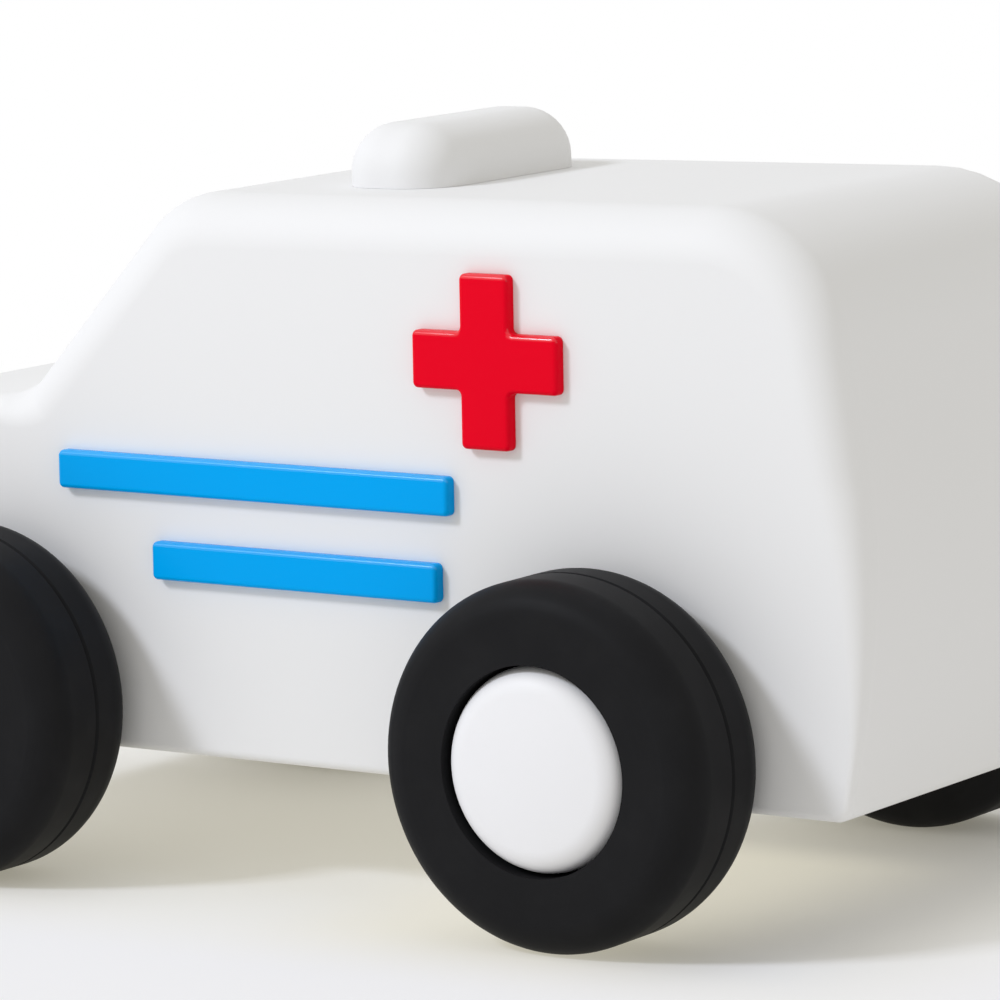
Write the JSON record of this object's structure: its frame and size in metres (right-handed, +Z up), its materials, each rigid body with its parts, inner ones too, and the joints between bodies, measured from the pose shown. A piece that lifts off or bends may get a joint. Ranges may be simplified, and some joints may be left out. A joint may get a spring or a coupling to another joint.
{
  "type": "toy ambulance",
  "caption": "Soft-edged toy ambulance: moulded van shell on a base plate, raised cross and stripes, roof light and free-rolling wheels on steel axles.",
  "frame": {"origin": "on the ground, under the middle of the body, midway between the axles", "axes": "+X forward, along the length of the car; +Y to the car's left; +Z up"},
  "size_m": [0.1386, 0.0876, 0.0801],
  "materials": {
    "white_plastic": "satin white moulded plastic",
    "cap_plastic": "smooth white moulded plastic",
    "red_plastic": "glossy red moulded plastic",
    "blue_plastic": "glossy blue moulded plastic",
    "black_plastic": "fine matt black moulded plastic",
    "axle_steel": "drawn steel pin",
    "screw_steel": "zinc plated steel screw"
  },
  "bodies": {
    "body": {"body_shell": "white_plastic", "base_plate": "white_plastic", "base_screws": "screw_steel", "roof_light": "white_plastic", "left_cross": "red_plastic", "right_cross": "red_plastic", "left_upper_stripe": "blue_plastic", "right_upper_stripe": "blue_plastic", "left_lower_stripe": "blue_plastic", "right_lower_stripe": "blue_plastic"},
    "front_wheelset": {"front_axle": "axle_steel", "front_left_wheel_outer": "black_plastic", "front_left_wheel_inner": "black_plastic", "front_left_hub_cap": "cap_plastic", "front_right_wheel_outer": "black_plastic", "front_right_wheel_inner": "black_plastic", "front_right_hub_cap": "cap_plastic"},
    "rear_wheelset": {"rear_axle": "axle_steel", "rear_left_wheel_outer": "black_plastic", "rear_left_wheel_inner": "black_plastic", "rear_left_hub_cap": "cap_plastic", "rear_right_wheel_outer": "black_plastic", "rear_right_wheel_inner": "black_plastic", "rear_right_hub_cap": "cap_plastic"}
  },
  "joints": [
    {"name": "front_axle_spin", "type": "hinge", "parent": "body", "child": "front_wheelset", "pos_m": [0.0395, 0, 0.019], "axis": [0, 1, 0], "continuous": true},
    {"name": "rear_axle_spin", "type": "hinge", "parent": "body", "child": "rear_wheelset", "pos_m": [-0.0395, 0, 0.019], "axis": [0, 1, 0], "continuous": true}
  ]
}
